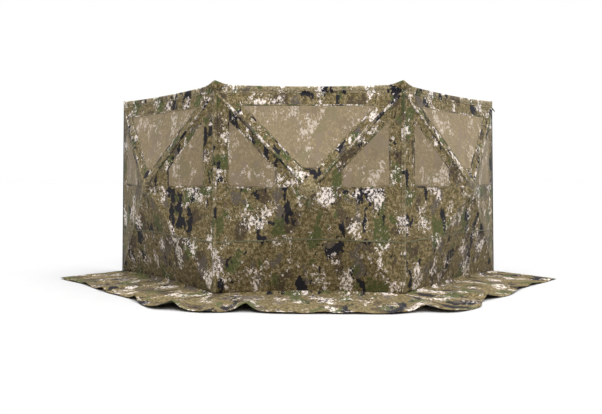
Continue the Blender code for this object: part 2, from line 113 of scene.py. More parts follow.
class Graph:
    """A material's node tree, grown socket by socket."""

    def __init__(self, name: str) -> None:
        """Start an empty material with its shader."""
        self.material = bpy.data.materials.new(name)
        self.material.use_nodes = True
        self.tree = self.material.node_tree
        self.shader = self.tree.nodes["Principled BSDF"]

    def put(self, socket: bpy.types.NodeSocket, value: object) -> None:
        """Link a socket, or set a plain value on it."""
        if isinstance(value, bpy.types.NodeSocket):
            self.tree.links.new(value, socket)
        elif value is not None:
            socket.default_value = value

    def add(self, kind: str, inputs: dict[object, object], **settings: object) -> bpy.types.Node:
        """Add a node.

        Args:
            kind: the node's type, without its ShaderNode start.
            inputs: values or sockets by input name or index.
            settings: the node's own properties.

        Returns:
            The new node.
        """
        node = self.tree.nodes.new("ShaderNode" + kind)
        for key, value in settings.items():
            setattr(node, key, value)
        for key, value in inputs.items():
            self.put(node.inputs[key], value)
        return node

    def uv(self, layer: str = "Print") -> bpy.types.NodeSocket:
        """A UV layer's coordinates, which are metres of cloth."""
        return self.add("UVMap", {}, uv_map=layer).outputs[0]

    def shifted(
        self, vector: object, scale: Sequence[float], offset: Sequence[float]
    ) -> bpy.types.NodeSocket:
        """A vector scaled and then moved."""
        return self.add("VectorMath", {0: vector, 1: scale, 2: offset}, operation="MULTIPLY_ADD").outputs[0]

    def noise(self, vector: object, scale: float, detail: float = 2.0, rough: float = 0.5) -> bpy.types.Node:
        """A noise texture node."""
        return self.add("TexNoise", {"Vector": vector, "Scale": scale, "Detail": detail, "Roughness": rough})

    def jagged(self, vector: object, scale: float, reach: float) -> bpy.types.NodeSocket:
        """A vector pushed about by fine noise, for ragged edges."""
        colour = self.noise(vector, scale, 2.0, 0.6).outputs["Color"]
        push = self.shifted(colour, (reach,) * 3, (-reach / 2,) * 3)
        return self.add("VectorMath", {0: vector, 1: push}, operation="ADD").outputs[0]

    def step(self, value: object, low: float, high: float) -> bpy.types.NodeSocket:
        """Zero below low, one above high; low may be the larger."""
        return self.add(
            "MapRange",
            {"Value": value, "From Min": low, "From Max": high},
            interpolation_type="SMOOTHSTEP",
        ).outputs[0]

    def sum(self, operation: str, a: object, b: object = None, clamp: bool = False) -> bpy.types.NodeSocket:
        """A Math node's result."""
        return self.add("Math", {0: a, 1: b}, operation=operation, use_clamp=clamp).outputs[0]

    def mix(self, factor: object, a: object, b: object) -> bpy.types.NodeSocket:
        """Colour a, turning to b as the factor rises."""
        node = self.add("Mix", {}, data_type="RGBA")
        self.put(node.inputs[0], factor)
        for place, value in ((6, a), (7, b)):
            self.put(node.inputs[place], (*value, 1.0) if isinstance(value, tuple) else value)
        return node.outputs[2]

    def waves(self, vector: object, axis: str, pitch: float) -> bpy.types.NodeSocket:
        """Bands across an axis, pitch metres apart."""
        scale = math.pi / 10 / pitch
        return self.add("TexWave", {"Vector": vector, "Scale": scale}, bands_direction=axis).outputs["Fac"]

    def weave(self, vector: object, pitch: float) -> bpy.types.NodeSocket:
        """The height of a plain weave."""
        return self.sum("MULTIPLY", self.waves(vector, "X", pitch), self.waves(vector, "Y", pitch))

    def bump(
        self, height: object, distance: float, strength: float, normal: object = None
    ) -> bpy.types.NodeSocket:
        """A bumped normal."""
        inputs = {"Height": height, "Distance": distance, "Strength": strength, "Normal": normal}
        return self.add("Bump", inputs).outputs[0]

    def finish(
        self, colour: object, roughness: object, normal: object = None, **fixed: float
    ) -> bpy.types.Material:
        """Join the results to the shader.

        Args:
            colour: the base colour, a socket or a colour.
            roughness: a socket or a number.
            normal: the bumped normal.
            fixed: values that are the same all over, by shader input name with _ for spaces.

        Returns:
            The finished material.
        """
        self.put(self.shader.inputs["Base Color"], (*colour, 1.0) if isinstance(colour, tuple) else colour)
        self.put(self.shader.inputs["Roughness"], roughness)
        self.put(self.shader.inputs["Normal"], normal)
        for key, value in fixed.items():
            self.shader.inputs[key.replace("_", " ")].default_value = value
        return self.material


@dataclass(frozen=True)
class PrintedCloth:
    """Polyester printed with mottled olive ground, leafy patches, dark bark shapes and pale flakes."""

    name: str = "printed_cloth"
    tan: Colour = (0.285, 0.218, 0.108)
    olive: Colour = (0.088, 0.066, 0.017)
    pale: Colour = (0.44, 0.36, 0.25)
    brown: Colour = (0.050, 0.033, 0.020)
    green: Colour = (0.055, 0.074, 0.018)
    grey: Colour = (0.095, 0.078, 0.068)
    black: Colour = (0.0100, 0.0085, 0.0120)
    flake: Colour = (0.78, 0.69, 0.63)
    # Painted light: a pale wash over the print, standing in for the bright backdrop seen through the window
    # mesh.
    veil: float = 0.0
    veil_colour: Colour = (0.40, 0.31, 0.19)
    alpha: float = 1.0
    bark: Colour | None = None
    pitch: float = 0.0012
    stitched: bool = False

    def material(self) -> bpy.types.Material:
        """The finished material."""
        g = Graph(self.name)
        uv = g.uv()
        bent = g.jagged(uv, 9.0, 0.075)
        ragged = g.jagged(g.jagged(uv, 55.0, 0.030), 190.0, 0.010)
        twisted = g.jagged(g.jagged(bent, 60.0, 0.020), 190.0, 0.008)
        mottle = g.noise(ragged, 34.0, 6.0, 0.80).outputs["Fac"]
        colour = g.mix(g.step(mottle, 0.45, 0.60), self.olive, self.tan)
        grain = g.noise(g.shifted(bent, (1.0, 0.5, 1.0), (3.1, 0.0, 0.0)), 95.0, 4.0, 0.80).outputs["Fac"]
        colour = g.mix(g.sum("MULTIPLY", g.step(grain, 0.585, 0.62), 0.70), colour, self.pale)
        colour = g.mix(g.sum("MULTIPLY", g.step(grain, 0.445, 0.405), 0.90), colour, self.brown)
        leafy = g.noise(ragged, 60.0, 3.0, 0.7).outputs["Fac"]
        for tint, place, low, size in (
            (self.brown, (7.3, 2.9, 0.0), 0.570, 6.2),
            (self.grey, (1.7, 9.4, 2.0), 0.605, 6.8),
            (self.green, (4.1, 5.6, 5.0), 0.575, 5.6),
        ):
            patch = g.noise(g.shifted(ragged, (1.0, 0.7, 1.0), place), size, 3.0, 0.5).outputs["Fac"]
            patch = g.sum("MULTIPLY", g.step(patch, low, low + 0.03), g.step(leafy, 0.36, 0.50))
            colour = g.mix(g.sum("MULTIPLY", patch, 0.88), colour, tint)
        bark = g.noise(g.shifted(twisted, (1.0, 0.42, 1.0), (11.3, 6.1, 3.0)), 9.5, 3.0, 0.55).outputs["Fac"]
        colour = g.mix(g.step(bark, 0.604, 0.611), colour, self.bark or self.black)
        bunch = g.noise(g.shifted(twisted, (1.0, 0.60, 1.0), (2.2, 13.0, 1.0)), 7.0, 2.0, 0.5).outputs["Fac"]
        strokes = g.noise(
            g.shifted(ragged, (1.0, 0.62, 1.0), (5.0, 3.0, 9.0)), 46.0, 3.0, 0.80
        ).outputs["Fac"]
        dense = g.sum("ADD", strokes, g.sum("MULTIPLY", g.step(bunch, 0.50, 0.68), 0.13))
        flakes = g.sum("MULTIPLY", g.step(bunch, 0.485, 0.535), g.step(dense, 0.612, 0.624))
        colour = g.mix(flakes, colour, self.flake)
        # Painted light: wash the mesh's print towards a pale tan, for the backdrop's light coming through it.
        if self.veil:
            colour = g.mix(self.veil, colour, self.veil_colour)
        height = g.weave(uv, self.pitch)
        normal = g.bump(g.noise(uv, 16.0, 5.0, 0.6).outputs["Fac"], 0.010, 0.35)
        if self.stitched:
            thread = self.stitches(g)
            colour = g.mix(g.sum("MULTIPLY", thread, 0.8), colour, self.black)
            normal = g.bump(thread, 0.0006, 0.8, normal)
        normal = g.bump(height, 0.0003, 0.5, normal)
        rough = g.sum("MULTIPLY_ADD", grain, 0.20)
        g.put(rough.node.inputs[2], 0.70)
        g.material.use_backface_culling = False
        return g.finish(colour, rough, normal, Alpha=self.alpha, Specular_IOR_Level=0.28, Sheen_Weight=0.06)

    def stitches(self, g: Graph) -> bpy.types.NodeSocket:
        """Two rows of stitches along a tape, as a mask."""
        split = g.add("SeparateXYZ", {0: g.uv("Run")})
        across = g.sum("ABSOLUTE", split.outputs[1])
        row = g.sum("LESS_THAN", g.sum("ABSOLUTE", g.sum("SUBTRACT", across, 0.0032)), 0.0006)
        dash = g.sum("LESS_THAN", g.sum("FRACT", g.sum("MULTIPLY", split.outputs[0], 250.0)), 0.68)
        return g.sum("MULTIPLY", row, dash)


@dataclass(frozen=True)
class Lining:
    """The dark coated inside of the cloth, with a dull weave and faint creases."""

    name: str = "dark_lining"
    coat: Colour = (0.020, 0.018, 0.016)
    worn: Colour = (0.052, 0.046, 0.038)

    def material(self) -> bpy.types.Material:
        """The finished material."""
        g = Graph(self.name)
        uv = g.uv()
        rub = g.noise(uv, 9.0, 6.0, 0.65).outputs["Fac"]
        crease = g.noise(g.jagged(uv, 6.0, 0.08), 21.0, 4.0, 0.55).outputs["Fac"]
        colour = g.mix(g.step(rub, 0.42, 0.70), self.coat, self.worn)
        normal = g.bump(g.weave(uv, 0.0012), 0.0003, 0.6, g.bump(crease, 0.008, 0.4))
        return g.finish(colour, g.step(rub, 1.9, 0.05), normal, Specular_IOR_Level=0.3)


@dataclass(frozen=True)
class Webbing:
    """Ribbed woven tape."""

    name: str
    base: Colour
    rib: Colour
    pitch: float = 0.0016

    def material(self) -> bpy.types.Material:
        """The finished material."""
        g = Graph(self.name)
        run = g.uv("Run")
        ribs = g.waves(run, "X", self.pitch)
        cross = g.waves(run, "Y", self.pitch * 1.5)
        fuzz = g.noise(run, 420.0, 3.0, 0.7).outputs["Fac"]
        wear = g.noise(run, 26.0, 4.0, 0.6).outputs["Fac"]
        colour = g.mix(g.sum("MULTIPLY", ribs, g.step(fuzz, 0.25, 0.75)), self.base, self.rib)
        colour = g.mix(g.sum("MULTIPLY", g.step(wear, 0.55, 0.75), 0.4), colour, self.rib)
        normal = g.bump(g.sum("MULTIPLY", ribs, cross), 0.0004, 0.7)
        return g.finish(colour, g.step(wear, 2.2, -0.4), normal, Specular_IOR_Level=0.25, Sheen_Weight=0.08)


@dataclass(frozen=True)
class GroundRod:
    """Pultruded rod: black resin with long pale glass strands and light scuffs."""

    name: str = "fibreglass_rod"
    resin: Colour = (0.014, 0.014, 0.015)
    strand: Colour = (0.050, 0.050, 0.048)

    def material(self) -> bpy.types.Material:
        """The finished material."""
        g = Graph(self.name)
        run = g.uv("Run")
        strands = g.noise(g.shifted(run, (4.0, 900.0, 1.0), (0.0, 0.0, 0.0)), 1.0, 4.0, 0.6).outputs["Fac"]
        scuff = g.noise(g.shifted(run, (1.0, 6.0, 1.0), (2.0, 0.0, 0.0)), 40.0, 4.0, 0.7).outputs["Fac"]
        colour = g.mix(g.step(strands, 0.50, 0.72), self.resin, self.strand)
        colour = g.mix(g.sum("MULTIPLY", g.step(scuff, 0.62, 0.72), 0.5), colour, self.strand)
        return g.finish(
            colour, g.step(scuff, -0.6, 1.6), g.bump(strands, 0.0002, 0.3), Specular_IOR_Level=0.5
        )


@dataclass(frozen=True)
class Metal:
    """Drawn metal with fine lines along it and rubbed spots."""

    name: str
    bright: Colour
    dull: Colour

    def material(self) -> bpy.types.Material:
        """The finished material."""
        g = Graph(self.name)
        place = g.add("TexCoord", {}).outputs["Object"]
        rub = g.noise(place, 130.0, 4.0, 0.6).outputs["Fac"]
        lines = g.noise(g.shifted(place, (900.0, 900.0, 60.0), (0.0, 0.0, 0.0)), 1.0, 3.0, 0.6).outputs["Fac"]
        colour = g.mix(g.step(rub, 0.40, 0.66), self.bright, self.dull)
        return g.finish(colour, g.step(lines, -0.5, 1.9), g.bump(lines, 0.00015, 0.3), Metallic=1.0)


@dataclass(frozen=True)
class MouldedPlastic:
    """Black nylon with a fine moulded grain and paler rubbed spots."""

    name: str = "moulded_plastic"
    base: Colour = (0.016, 0.016, 0.017)
    rubbed: Colour = (0.055, 0.054, 0.052)

    def material(self) -> bpy.types.Material:
        """The finished material."""
        g = Graph(self.name)
        place = g.add("TexCoord", {}).outputs["Object"]
        grain = g.noise(place, 1400.0, 2.0, 0.6).outputs["Fac"]
        rub = g.noise(place, 60.0, 5.0, 0.7).outputs["Fac"]
        colour = g.mix(g.sum("MULTIPLY", g.step(rub, 0.55, 0.75), 0.7), self.base, self.rubbed)
        return g.finish(colour, g.step(rub, 0.95, 0.05), g.bump(grain, 0.0002, 0.35), Specular_IOR_Level=0.45)


@dataclass(frozen=True)
class StudioFloor:
    """A pale matt floor."""

    name: str = "studio_floor"
    light: Colour = (0.54, 0.54, 0.54)
    shade: Colour = (0.52, 0.52, 0.52)

    def material(self) -> bpy.types.Material:
        """The finished material."""
        g = Graph(self.name)
        place = g.add("TexCoord", {}).outputs["Object"]
        return g.finish(
            g.mix(g.noise(place, 3.0).outputs["Fac"], self.light, self.shade),
            0.95,
            Specular_IOR_Level=0.1,
        )


class Finish(Enum):
    """Every finish in the blind."""

    CLOTH = PrintedCloth()
    TAPE = PrintedCloth(name="stitched_tape", stitched=True, tan=(0.36, 0.29, 0.17), olive=(0.14, 0.11, 0.04))
    # Painted light: a lighter copy of the wall cloth's print, for the extra light that falls on the top hem.
    HEM = PrintedCloth(
        name="hem_cloth", tan=(0.44, 0.36, 0.23), olive=(0.20, 0.16, 0.075), flake=(0.95, 0.88, 0.83)
    )
    # The window mesh's pale wash is painted light: the bright backdrop seen through the mesh.
    MESH = PrintedCloth(
        name="window_mesh",
        veil=0.55,
        veil_colour=(0.34, 0.26, 0.16),
        alpha=0.92,
        bark=(0.12, 0.09, 0.075),
        pitch=0.0020,
    )
    LINING = Lining()
    EDGING = Webbing("dark_edging", (0.014, 0.014, 0.013), (0.040, 0.039, 0.034))
    STRAP = Webbing("olive_strap", (0.110, 0.105, 0.055), (0.240, 0.225, 0.135))
    ROD = GroundRod()
    FERRULE = Metal("ferrule_alloy", (0.62, 0.62, 0.63), (0.40, 0.40, 0.41))
    WIRE = Metal("steel_wire", (0.56, 0.56, 0.57), (0.30, 0.29, 0.28))
    PLASTIC = MouldedPlastic()
    FLOOR = StudioFloor()

    def material(self) -> bpy.types.Material:
        """This finish's material, made on first use."""
        return bpy.data.materials.get(self.value.name) or self.value.material()


# ---------------------------------------------------------------- mesh making


@dataclass
class Loft:
    """A surface through rows of points.

    Each row has the same number of points. prints and runs give each point's place on the printed cloth, and
    its (along, across) place on a tape, in metres.
    """

    name: str
    rows: list[Ring]
    prints: list[list[Plan]] | None = None
    runs: list[list[Plan]] | None = None
    closed: bool = False
    caps: bool = False
    facing: Vector | None = None

    def build(self, finishes: Sequence[Finish]) -> bpy.types.Object:
        """The surface as an object.

        Args:
            finishes: its materials; the first is on the surface.

        Returns:
            The new object, in the row frame.
        """
        shape = bmesh.new()
        layers = [shape.loops.layers.uv.new(name) for name in ("Print", "Run")]
        grid = [[shape.verts.new(point) for point in row] for row in self.rows]
        wide = len(grid[0])
        for i in range(len(grid) - 1):
            for j in range(wide if self.closed else wide - 1):
                k = (j + 1) % wide
                face = shape.faces.new((grid[i][j], grid[i][k], grid[i + 1][k], grid[i + 1][j]))
                for loop, (a, b) in zip(face.loops, ((i, j), (i, j + 1), (i + 1, j + 1), (i + 1, j))):
                    for layer, table in zip(layers, (self.prints, self.runs)):
                        if table:
                            loop[layer].uv = table[a][min(b, len(table[a]) - 1)]
        if self.caps:
            shape.faces.new(grid[0])
            shape.faces.new(grid[-1])
            bmesh.ops.recalc_face_normals(shape, faces=shape.faces)
        shape.normal_update()
        if self.facing is not None:
            lean = sum((face.normal * face.calc_area() for face in shape.faces), Vector())
            if lean.dot(self.facing) < 0:
                bmesh.ops.reverse_faces(shape, faces=shape.faces)
        return object_from(self.name, shape, finishes)


def object_from(name: str, shape: bmesh.types.BMesh, finishes: Sequence[Finish]) -> bpy.types.Object:
    """Turn a bmesh into a smooth-shaded object in the scene.

    Args:
        name: the piece's name.
        shape: the mesh, which is freed.
        finishes: the materials, in slot order.

    Returns:
        The new object.
    """
    mesh = bpy.data.meshes.new(name)
    shape.to_mesh(mesh)
    shape.free()
    mesh.shade_smooth()
    mesh.set_sharp_from_angle(angle=math.radians(50))
    for item in finishes:
        mesh.materials.append(item.material())
    piece = bpy.data.objects.new(name, mesh)
    bpy.context.scene.collection.objects.link(piece)
    return piece


def thicken(piece: bpy.types.Object, thickness: float, lined: bool) -> None:
    """Give a sheet its thickness, inward from its outer face, and a lining where it has one."""
    solid = piece.modifiers.new("thickness", "SOLIDIFY")
    solid.thickness = thickness
    solid.offset = -1.0
    solid.use_even_offset = False
    if lined:
        solid.material_offset = 1


def bend_by(
    piece: bpy.types.Object, corner: Vector, share: Callable[[Vector], float]
) -> None:
    """Bake a piece's placing into its mesh and work out each point's share of a turn about an upright corner,
    clamped to 0..1; the piece is not bent.

    Args:
        piece: the finished piece.
        corner: a point on the upright axis; not used.
        share: a point's share of the turn.
    """
    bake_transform(piece)
    shares = [min(1.0, max(0.0, share(vertex.co))) for vertex in piece.data.vertices]


# ---------------------------------------------------------------- walls


@dataclass
class Wall:
    """One wall: its frame, the pyramid of cloth over it and the sizes that all its pieces share."""

    name: str
    body: str
    matrix: Matrix
    shift: float
    width: float = 1.53
    height: float = 1.69
    side_gap: float = 0.008
    low: float = 0.0035
    high: float = 1.6235
    hub_height: float = 0.845
    bulge: float = 0.19
    top_sag: float = 0.018
    foot_bow: float = 0.026

    @property
    def hub(self) -> Vector:
        """The hub's place in the wall's plane."""
        return Vector((self.width / 2, self.hub_height))

    @property
    def corners(self) -> list[Vector]:
        """The cloth's four corners, from bottom left round to top left."""
        left, right = self.side_gap, self.width - self.side_gap
        return [
            Vector(p)
            for p in ((left, self.low), (right, self.low), (right, self.high), (left, self.high))
        ]

    def at(self, x: float, y: float, z: float) -> Vector:
        """A point of the wall's frame in the row frame."""
        return self.matrix @ Vector((x, y, z))

    def direction(self, x: float, y: float, z: float) -> Vector:
        """A direction of the wall's frame in the row frame."""
        return self.matrix.to_3x3() @ Vector((x, y, z))

    def rise(self, x: float, y: float) -> float:
        """How far the flat facets stand out at a place."""
        hub = self.hub
        side = abs(x - hub.x) / (hub.x - self.side_gap)
        down = (hub.y - y) / (hub.y - self.low)
        up = (y - hub.y) / (self.high - hub.y)
        return self.bulge * (1 - max(side, down, up))

    def travel(self, point: Vector) -> float:
        """A point's share of the hub's travel, the same as the cloth's there."""
        place = self.matrix.inverted() @ point
        return self.rise(place.x, place.y) / self.bulge

    def crumple(self, x: float, y: float) -> float:
        """The cloth's small creases: soft waves, and pulls that run out from the hub."""
        hub = self.hub
        reach = math.hypot(x - hub.x, y - hub.y)
        turn = math.atan2(y - hub.y, x - hub.x)
        soft = (
            0.0022 * wobble(x * 4.0 + self.shift, y * 4.0, 1.0)
            + 0.0010 * wobble(x * 13 + self.shift, y * 11, 2.0)
        )
        pull = 0.0016 * wobble(turn * 7.0 + self.shift, reach * 2.0, 3.0) * smoothstep(0.05, 0.30, reach)
        edge = smoothstep(0.0, 0.05, self.rise(x, y) / self.bulge)
        return (soft + pull) * edge

    def skin(self, x: float, y: float) -> float:
        """The outer face of the cloth at a place, creases and all."""
        hub = self.hub
        shares = [
            abs(x - hub.x) / (hub.x - self.side_gap),
            max((hub.y - y) / (hub.y - self.low), (y - hub.y) / (self.high - hub.y)),
        ]
        near, far = min(shares), max(shares)
        slack = 0.0
        if far > 1e-6:
            slack = 0.011 * (1 - (near / far) ** 2) * 4 * far * max(0.0, 1 - far)
        return self.rise(x, y) - slack + self.crumple(x, y)

    def top(self, x: float) -> float:
        """The height of the top edge, which sags between its corners."""
        t = 2 * x / self.width - 1
        return self.height - self.top_sag * (1 - t * t)

    def foot(self, x: float) -> float:
        """The height of the seam to the skirt, which bows up between its corners."""
        t = 2 * x / self.width - 1
        return self.low + self.foot_bow * (1 - t * t)

    def print_at(self, x: float, y: float) -> Plan:
        """A place on the printed cloth."""
        return (x + self.shift, y)


class Side(Enum):
    """A wall's four facets."""

    BOTTOM = 0
    RIGHT = 1
    TOP = 2
    LEFT = 3

    @property
    def label(self) -> str:
        """The facet's name."""
        return self.name.lower()


@dataclass
class Facet:
    """One cloth facet between two ridges, with its mesh window, seams and brush tape."""

    wall: Wall
    side: Side
    hole: float = 0.058
    rows: int = 30
    columns: int = 44
    strip: float = 0.080
    corner_strip: float = 0.122
    sill: float = 0.860
    window_reach: float = 0.265
    window_drop: float = 0.110
    toe: float = 0.160
    tape_width: float = 0.012
    tape_height: float = 0.415
    tape_pitch: float = 0.150

    @property
    def body(self) -> str:
        """The CAD body that this facet rides on."""
        return f"{self.wall.name}_{self.side.label}_facet"

    def window(self) -> list[Vector]:
        """The window's outline in the wall's plane, anticlockwise, or an empty list."""
        hub, left = self.wall.hub, self.wall.side_gap
        run = (hub.x - left) / (self.wall.high - hub.y)
        offset = self.strip / math.cos(math.atan2(self.wall.high - hub.y, hub.x - left))
        if self.side is Side.BOTTOM:
            return []
        if self.side is Side.TOP:
            point, top, toe = hub.y + offset, self.wall.high - self.window_drop, hub.y + self.toe
            slant = Vector((run, 1.0)).normalized()
            right = Vector((hub.x + (toe - point) * run, toe))
            corner = [
                right - Vector((0.030, 0)),
                right + slant * 0.004 - Vector((0.008, 0)),
                right + slant * 0.030,
            ]
            left_corner = [Vector((2 * hub.x - p.x, p.y)) for p in reversed(corner)]
            high = Vector((hub.x + (top - point) * run, top))
            return [*left_corner, *corner, high, Vector((2 * hub.x - high.x, top))]
        inner = hub.x - self.window_reach

        def under(x: float) -> float:
            """The strip's lower edge at x."""
            return self.wall.high - (x - left) / run - offset

        points = [
            (self.corner_strip, self.sill),
            (inner, self.sill),
            (inner, under(inner)),
            (self.corner_strip, under(self.corner_strip)),
        ]
        if self.side is Side.RIGHT:
            points = [(self.wall.width - x, y) for x, y in reversed(points)]
        return [Vector(p) for p in points]

    def grid(self) -> bmesh.types.BMesh:
        """The facet in the wall's plane, as rays towards the hub."""
        wall = self.wall
        start, end = wall.corners[self.side.value], wall.corners[(self.side.value + 1) % 4]
        shape = bmesh.new()
        rays = []
        for i in range(self.columns + 1):
            foot = start.lerp(end, i / self.columns)
            reach = 1 - self.hole / (wall.hub - foot).length
            ray = []
            for j in range(self.rows + 1):
                ray.append(shape.verts.new(foot.lerp(wall.hub, reach * j / self.rows).to_3d()))
            rays.append(ray)
        for one, two in zip(rays, rays[1:]):
            for j in range(self.rows):
                shape.faces.new((one[j], two[j], two[j + 1], one[j + 1]))
        return shape

    def inside(self, place: Vector, outline: Sequence[Vector]) -> bool:
        """Whether a place is within a convex outline."""
        for a, b in zip(outline, [*outline[1:], *outline[:1]]):
            if (b - a).cross(place - a) < 0:
                return False
        return bool(outline)

    def swatch(self, place: Vector) -> Plan:
        """How far the print is shifted at a place, since each strip of cloth is cut on its own."""
        wall = self.wall
        if place.y < self.sill:
            return (0.0, 0.0)
        if place.y > wall.high - self.window_drop and self.side is Side.TOP:
            return (0.31, 0.47)
        edge = min(place.x, wall.width - place.x)
        if self.side is not Side.TOP and edge < self.corner_strip:
            return (0.83, 0.29) if place.x < wall.hub.x else (1.37, 0.62)
        return (2.05, 0.91) if place.x < wall.hub.x else (2.90, 0.13)

    def cut(self, keep_window: bool) -> bmesh.types.BMesh:
        """The cloth round the window, or the pane within it, shaped and marked with its print."""
        outline = self.window()
        shape = self.grid()
        for a, b in zip(outline, [*outline[1:], *outline[:1]]):
            along = b - a
            bmesh.ops.bisect_plane(
                shape,
                geom=[*shape.verts, *shape.edges, *shape.faces],
                dist=1e-5,
                plane_co=a.to_3d(),
                plane_no=Vector((along.y, -along.x, 0)),
            )
        doomed = []
        for face in shape.faces:
            if self.inside(face.calc_center_median().to_2d(), outline) != keep_window:
                doomed.append(face)
        bmesh.ops.delete(shape, geom=doomed, context="FACES")
        layer = shape.loops.layers.uv.new("Print")
        for face in shape.faces:
            shift = (3.7, 0.4) if keep_window else self.swatch(face.calc_center_median().to_2d())
            for loop in face.loops:
                place = self.wall.print_at(loop.vert.co.x, loop.vert.co.y)
                loop[layer].uv = (place[0] + shift[0], place[1] + shift[1])
        for vertex in shape.verts:
            x, y, _ = vertex.co
            vertex.co = self.wall.at(x, y, self.wall.skin(x, y) - (0.0004 if keep_window else 0.0))
        shape.normal_update()
        return shape

    def flat_size(self, shape: bmesh.types.BMesh) -> tuple[Plan, float]:
        """The rectangle that a cut piece comes out of, in metres, and its area."""
        area = sum(face.calc_area() for face in shape.faces)
        inverse = self.wall.matrix.inverted()
        places = [inverse @ vertex.co for vertex in shape.verts]
        wide = max(p.x for p in places) - min(p.x for p in places)
        tall = max(p.y for p in places) - min(p.y for p in places)
        return (wide, tall), area

    def on_skin(
        self, a: Vector, b: Vector, width: float, lift: float, name: str, finish: Finish
    ) -> bpy.types.Object:
        """A tape that lies on the cloth from a to b in the wall's plane."""
        along = (b - a).normalized()
        across = Vector((-along.y, along.x))
        steps = max(2, round((b - a).length / 0.025))
        profile = [(-0.5, -0.6), (-0.46, 0.7), (0.0, 1.0), (0.46, 0.7), (0.5, -0.6)]
        rows, runs, prints = [], [], []
        for i in range(steps + 1):
            middle = a.lerp(b, i / steps)
            row, run, cloth = [], [], []
            for share, height in profile:
                place = middle + across * width * share
                row.append(self.wall.at(place.x, place.y, self.wall.skin(place.x, place.y) + lift * height))
                run.append(((b - a).length * i / steps, width * share))
                cloth.append(self.wall.print_at(place.x + 0.21, place.y + 0.33))
            rows.append(row)
            runs.append(run)
            prints.append(cloth)
        piece = Loft(name, rows, prints, runs, facing=self.wall.direction(0, 0, 1)).build([finish])
        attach(piece, self.body)
        return piece

    def build(self) -> None:
        """Cloth, pane, seam tapes and brush tape."""
        name = self.body
        shape = self.cut(keep_window=False)
        size, area = self.flat_size(shape)
        cloth = object_from(f"{name}_cloth", shape, [Finish.CLOTH, Finish.LINING])
        thicken(cloth, 0.0012, lined=True)
        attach(cloth, self.body)
        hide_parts(name)
        outline = self.window()
        if outline:
            shape = self.cut(keep_window=True)
            size, area = self.flat_size(shape)
            pane = object_from(f"{name}_pane", shape, [Finish.MESH])
            thicken(pane, 0.0005, lined=False)
            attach(pane, self.body)
            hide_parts(f"{self.wall.name}_{self.side.label}_window")
            centre = sum(outline, Vector((0, 0))) / len(outline)
            for i, (a, b) in enumerate(zip(outline, [*outline[1:], outline[0]])):
                out = (a + b) / 2 - centre
                normal = Vector(((b - a).y, -(b - a).x)).normalized()
                push = normal * (0.005 if normal.dot(out) > 0 else -0.005)
                tape = self.on_skin(
                    a + push, b + push, self.tape_width, 0.0016, f"{name}_seam_{i}", Finish.TAPE
                )
        self.brush_tape()

    def tape_line(self, x: float) -> float:
        """The brush tape's height at x, drawn up towards the hub."""
        return self.tape_height + 0.036 * math.sin(math.pi * x / self.wall.width)

    def brush_tape(self) -> None:
        """The narrow strap sewn across the lower cloth to tuck brush behind."""
        if self.side is Side.TOP:
            return
        wall = self.wall
        inner = wall.hub.x * 0.5
        for _ in range(8):
            ridge = (self.tape_line(inner) - wall.low) / (wall.hub_height - wall.low)
            inner = wall.side_gap + (wall.hub.x - wall.side_gap) * ridge
        spans = {
            Side.BOTTOM: (inner, wall.width - inner),
            Side.LEFT: (wall.side_gap, inner),
            Side.RIGHT: (wall.width - inner, wall.width - wall.side_gap),
        }
        start, end = spans[self.side]
        steps = max(4, round((end - start) / 0.012))
        profile = [(-0.5, -0.2), (-0.45, 0.8), (0.0, 1.0), (0.45, 0.8), (0.5, -0.2)]
        rows, runs = [], []
        for i in range(steps + 1):
            x = start + (end - start) * i / steps
            loose = abs(math.sin(math.pi * (x - start) / self.tape_pitch))
            y = self.tape_line(x) - 0.004 * loose
            row, run = [], []
            for share, height in profile:
                tall = y + 0.010 * share
                row.append(wall.at(x, tall, wall.skin(x, tall) + 0.0018 * height + 0.004 * loose))
                run.append((x, 0.010 * share))
            rows.append(row)
            runs.append(run)
        piece = Loft(
            f"{self.body}_brush_tape", rows, None, runs, facing=wall.direction(0, 0, 1)
        ).build([Finish.STRAP])
        thicken(piece, 0.0010, lined=False)
        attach(piece, self.body)


@dataclass
class TopHem:
    """The folded hem along a wall's top edge."""

    wall: Wall
    fold: float = 0.036
    steps: int = 64

    def profile(self, x: float) -> list[tuple[float, float, float]]:
        """(height, outward, print height) round the hem's section at x."""
        top, low = self.wall.top(x), self.wall.high
        wave = 0.0012 * wobble(x * 14 + self.wall.shift, 0.0, 6.0)
        lip = top - self.fold + 0.0015 * wobble(x * 9 + self.wall.shift, 1.0, 7.0)
        return [
            (low - 0.004, -0.0012, 0.0),
            (low - 0.004, 0.0030, 0.0),
            (low + 0.004, 0.0032 + wave, 0.008),
            (lip, 0.0036 + wave, 0.030),
            (lip - 0.0022, 0.0066 + wave, 0.034),
            (lip + 0.004, 0.0082 + wave, 0.042),
            (top - 0.010, 0.0076 + wave, 0.066),
            (top - 0.003, 0.0058, 0.074),
            (top, 0.0016, 0.080),
            (top - 0.002, -0.0030, 0.086),
            (top - 0.010, -0.0052, 0.094),
            (lip, -0.0050, 0.120),
            (low - 0.004, -0.0034, 0.150),
        ]

    def build(self) -> None:
        """The hem, as one rolled strip."""
        wall = self.wall
        rows, prints = [], []
        for i in range(self.steps + 1):
            x = wall.side_gap * 0.9 + (wall.width - wall.side_gap * 1.8) * i / self.steps
            section = self.profile(x)
            rows.append([wall.at(x, y, z) for y, z, _ in section])
            cloth = [(x + wall.shift + 0.31, wall.high + 0.49 + s) for _, _, s in section]
            prints.append([*cloth, cloth[-1]])
        # The hem's finish is the lighter copy of the print: painted light on the top hem.
        hem = Loft(f"{wall.name}_hem", rows, prints, closed=True, caps=True).build([Finish.HEM])
        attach(hem, wall.body)
        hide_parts(f"{wall.name}_top_hem")


